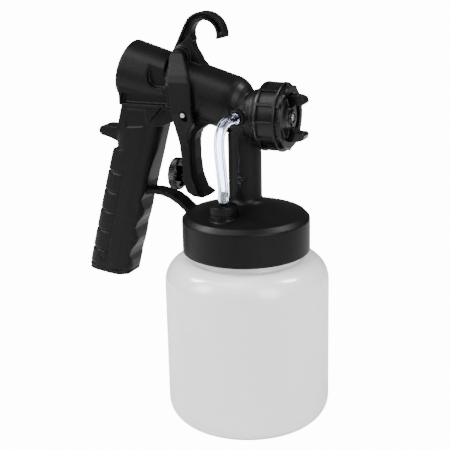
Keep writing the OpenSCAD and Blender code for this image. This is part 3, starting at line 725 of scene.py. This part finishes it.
class GUN_OT_springs(bpy.types.Operator):
    """Build the two coil springs"""

    bl_idname = "gun.springs"
    bl_label = "Springs"

    def execute(self, context):
        steel = steel_material()
        # node, name, body, height, coil and wire radius, turns, joint, share of the length kept
        springs = (
            ("needle_spring", "needle_return_spring", "needle",
             NOZZLE_Z, 3.4, 0.5, 8, "trigger_pull", 0.835),
            ("knob_spring", "knob_friction_spring", "trigger",
             FLOW_Z, 3.1, 0.35, 2, "flow_screw_travel", 0.6),
        )
        for node, name, body, height, coil_radius, wire, turns, joint, keep in springs:
            low, high = box_mm(node)
            wound = coil(low[0], high[0], height, coil_radius, wire, turns)
            mesh = mesh_from_grid(name, wound, False, True, 60)
            piece = add_piece(name, mesh, body, "spring_wire", steel, node)
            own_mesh(piece)
        return {"FINISHED"}


class GUN_OT_container(bpy.types.Operator):
    """Build the blow-moulded container with its seam"""

    bl_idname = "gun.container"
    bl_label = "Container"

    def execute(self, context):
        sizes = context.scene.gun_sizes
        outer = CUP_HIGH[0]
        top = CUP_HIGH[2]
        wall, fillet, shoulder_z, shoulder_r, shoulder_h = 1.3, 14.7, 95.0, 14.0, 15.5
        neck, thread, pitch = 36.9, 37.7, 5.0
        neck_in = outer - shoulder_r - 3.2
        shoulder_top = shoulder_z + shoulder_h
        threads = [
            point for z in np.arange(118, 129, pitch)
            for point in ([neck, z], [thread, z + 0.8], [thread, z + 2], [neck, z + 2.8])
        ]
        profile = resample(
            np.concatenate([
                [[0, 0], [outer - fillet - 1, 0]],
                arc(outer - fillet, fillet, fillet, fillet, -88, 0, 18),
                arc(outer - shoulder_r, shoulder_z, shoulder_r, shoulder_h, 0, 82, 20),
                [[neck + 0.6, shoulder_top + 0.4], [neck, shoulder_top + 1.4]],
                threads,
                [[neck, top - 0.4], [neck - 0.4, top], [neck_in, top], [neck_in, shoulder_top + 1]],
                arc(outer - shoulder_r, shoulder_z, shoulder_r - wall, shoulder_h - wall, 80, 0, 20),
                arc(outer - fillet, fillet, fillet - wall, fillet - wall, 0, -86, 18),
                [[outer - fillet - 1, 1.5], [0, 1.5]],
            ]),
            2.0,
        )
        seam = math.radians(-71)

        def seams(radius, angle, height):
            """A fine ridge where the two mould halves met, on opposite sides of the outer wall."""
            turn = np.abs((angle - seam + np.pi / 2) % np.pi - np.pi / 2)
            line = ridge(turn * outer, 0.35)
            outside = np.zeros(radius.shape)
            outside[: np.argmax(profile[:, 1])] = 1
            body = smoothstep(2, 8, height) * smoothstep(shoulder_top, shoulder_top - 4, height)
            shape = radius + sizes.seam_height * line * outside * body
            return np.minimum(shape, outer)

        mesh = mesh_from_grid("container_shell", about_z(*revolve(profile, 540, seams)), False, True, 60)
        material = container_material(context.scene.gun_finish)
        add_piece("container_shell", mesh, "container", "natural_plastic", material, "container")
        return {"FINISHED"}


class GUN_OT_fittings(bpy.types.Operator):
    """Give the frame's own small parts their materials"""

    bl_idname = "gun.fittings"
    bl_label = "Fittings"

    def execute(self, context):
        finish = context.scene.gun_finish
        steel, brass, seal = steel_material(), brass_material(), seal_material()
        moulded = body_material(finish)
        chosen = {
            "needle": steel, "needle_cross_pin": steel, "flow_screw": steel, "fluid_nozzle": steel,
            "needle_carrier": brass, "packing_nut": brass,
            "flow_nut": brass, "needle_packing": seal, "nozzle_seal": seal, "valve_disc": seal,
            "container_gasket": seal, "pickup_tube": seal, "fluid_insert": moulded, "head_barb": moulded,
            "valve_seat": moulded, "pickup_filter": moulded,
        }
        for node, material in chosen.items():
            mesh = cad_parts[node].data
            mesh.materials.clear()
            mesh.materials.append(material)
        return {"FINISHED"}


# ---- Stage ----

# Angles are in radians. The camera looks at a point AIM_SIDE to its right and AIM_HEIGHT above the base.
CAMERA_LENS = 89.34
CAMERA_AZIMUTH = math.radians(25)
CAMERA_PITCH = 0.29741588
CAMERA_ROLL = 0.02314452
CAMERA_DISTANCE = 714.95
AIM_HEIGHT = 131.35
AIM_SIDE = -13.49


def camera_axes():
    """Unit vectors to the camera's right, up and back."""
    a, e = CAMERA_AZIMUTH, CAMERA_PITCH
    back = Vector((math.sin(a) * math.cos(e), -math.cos(a) * math.cos(e), math.sin(e)))
    right = Vector((math.cos(a), math.sin(a), 0))
    return right, back.cross(right), back


def add_softbox(name, place, aim, size, power):
    """Square area light at a place, facing a point, both in millimetres."""
    light = bpy.data.lights.new(name, "AREA")
    light.shape = "RECTANGLE"
    light.size, light.size_y = (length * MM for length in size)
    light.energy = power
    lamp = bpy.data.objects.new(name, light)
    bpy.context.scene.collection.objects.link(lamp)
    lamp.location = Vector(place) * MM
    lamp.rotation_mode = "QUATERNION"
    lamp.rotation_quaternion = (Vector(aim) - Vector(place)).to_track_quat("-Z", "Y")
    return lamp


def floor_material():
    """Pale floor that lights the object as paper does and is seen as plain white."""
    material = bpy.data.materials.new("Pale Floor")
    material.use_nodes = True
    nodes, links = material.node_tree.nodes, material.node_tree.links
    paper = nodes["Principled BSDF"]
    paper.inputs["Base Color"].default_value = (0.85, 0.85, 0.85, 1)
    paper.inputs["Roughness"].default_value = 0.9
    glow = nodes.new("ShaderNodeEmission")
    glow.inputs["Strength"].default_value = 14.0
    seen = nodes.new("ShaderNodeLightPath")
    either = nodes.new("ShaderNodeMath")
    either.operation = "MAXIMUM"
    links.new(seen.outputs["Is Camera Ray"], either.inputs[0])
    links.new(seen.outputs["Is Transmission Ray"], either.inputs[1])
    mixed = nodes.new("ShaderNodeMixShader")
    links.new(either.outputs["Value"], mixed.inputs["Fac"])
    links.new(paper.outputs["BSDF"], mixed.inputs[1])
    links.new(glow.outputs["Emission"], mixed.inputs[2])
    links.new(mixed.outputs["Shader"], nodes["Material Output"].inputs["Surface"])
    return material


class GUN_OT_stage(bpy.types.Operator):
    """Set up the floor, the soft light and the camera"""

    bl_idname = "gun.stage"
    bl_label = "Stage"

    def execute(self, context):
        scene = context.scene
        right, up, back = camera_axes()
        data = bpy.data.cameras.new("Camera")
        data.lens = CAMERA_LENS
        data.sensor_width = 36.0
        data.clip_start, data.clip_end = 0.01, 50.0
        camera = bpy.data.objects.new("Camera", data)
        scene.collection.objects.link(camera)
        rolled_right = right * math.cos(CAMERA_ROLL) - up * math.sin(CAMERA_ROLL)
        rolled_up = back.cross(rolled_right)
        aim = right * AIM_SIDE + Vector((0, 0, AIM_HEIGHT))
        turn = Matrix((rolled_right, rolled_up, back)).transposed().to_4x4()
        camera.matrix_world = Matrix.Translation((aim + back * CAMERA_DISTANCE) * MM) @ turn
        scene.camera = camera

        disc = bmesh.new()
        bmesh.ops.create_circle(disc, cap_ends=True, segments=96, radius=8.0)
        mesh = bpy.data.meshes.new("floor")
        disc.to_mesh(mesh)
        disc.free()
        floor = bpy.data.objects.new("floor", mesh)
        scene.collection.objects.link(floor)
        floor.data.materials.append(floor_material())

        target = (-20, 0, 130)
        add_softbox("Front Left Softbox", (-620, -620, 620), target, (360, 560), 9.8)
        add_softbox("Front Right Softbox", (640, -420, 520), target, (360, 560), 8.3)
        add_softbox("Top Softbox", (-140, -260, 860), target, (460, 300), 3.0)
        # Two lamps high on either side, whose reflections lie on the container's shoulder
        add_softbox("High Left Softbox", (-669, -123, 833), (0, 0, 100), (150, 260), 8.0)
        add_softbox("High Right Softbox", (524, 287, 902), (0, 0, 100), (150, 260), 8.0)
        world = bpy.data.worlds.new("Soft Surroundings")
        world.use_nodes = True
        sky = world.node_tree.nodes["Background"]
        sky.inputs["Color"].default_value = (1, 1, 1, 1)
        sky.inputs["Strength"].default_value = 0.15
        scene.world = world
        return {"FINISHED"}


OPERATORS = (
    GUN_OT_stage, GUN_OT_body, GUN_OT_trigger, GUN_OT_air_cap, GUN_OT_ring, GUN_OT_knob,
    GUN_OT_valve, GUN_OT_hose, GUN_OT_springs, GUN_OT_container, GUN_OT_fittings,
)


class GUN_PT_panel(bpy.types.Panel):
    """Lists the gun's settings and pieces"""

    bl_idname = "GUN_PT_panel"
    bl_label = "Spray Gun"
    bl_space_type = "VIEW_3D"
    bl_region_type = "UI"
    bl_category = "Spray Gun"

    def draw(self, context):
        for settings in (context.scene.gun_finish, context.scene.gun_sizes):
            for name in settings.bl_rna.properties.keys():
                if name not in {"rna_type", "name"}:
                    self.layout.prop(settings, name)
        for operator in OPERATORS:
            self.layout.operator(operator.bl_idname)


CLASSES = (GunFinish, GunSizes, *OPERATORS, GUN_PT_panel)


def register():
    for cls in CLASSES:
        bpy.utils.register_class(cls)
    bpy.types.Scene.gun_finish = bpy.props.PointerProperty(type=GunFinish)
    bpy.types.Scene.gun_sizes = bpy.props.PointerProperty(type=GunSizes)


def unregister():
    del bpy.types.Scene.gun_sizes
    del bpy.types.Scene.gun_finish
    for cls in reversed(CLASSES):
        bpy.utils.unregister_class(cls)


def main():
    register()
    for operator in OPERATORS:
        group, name = operator.bl_idname.split(".")
        getattr(getattr(bpy.ops, group), name)()


if __name__ == "__main__":
    main()
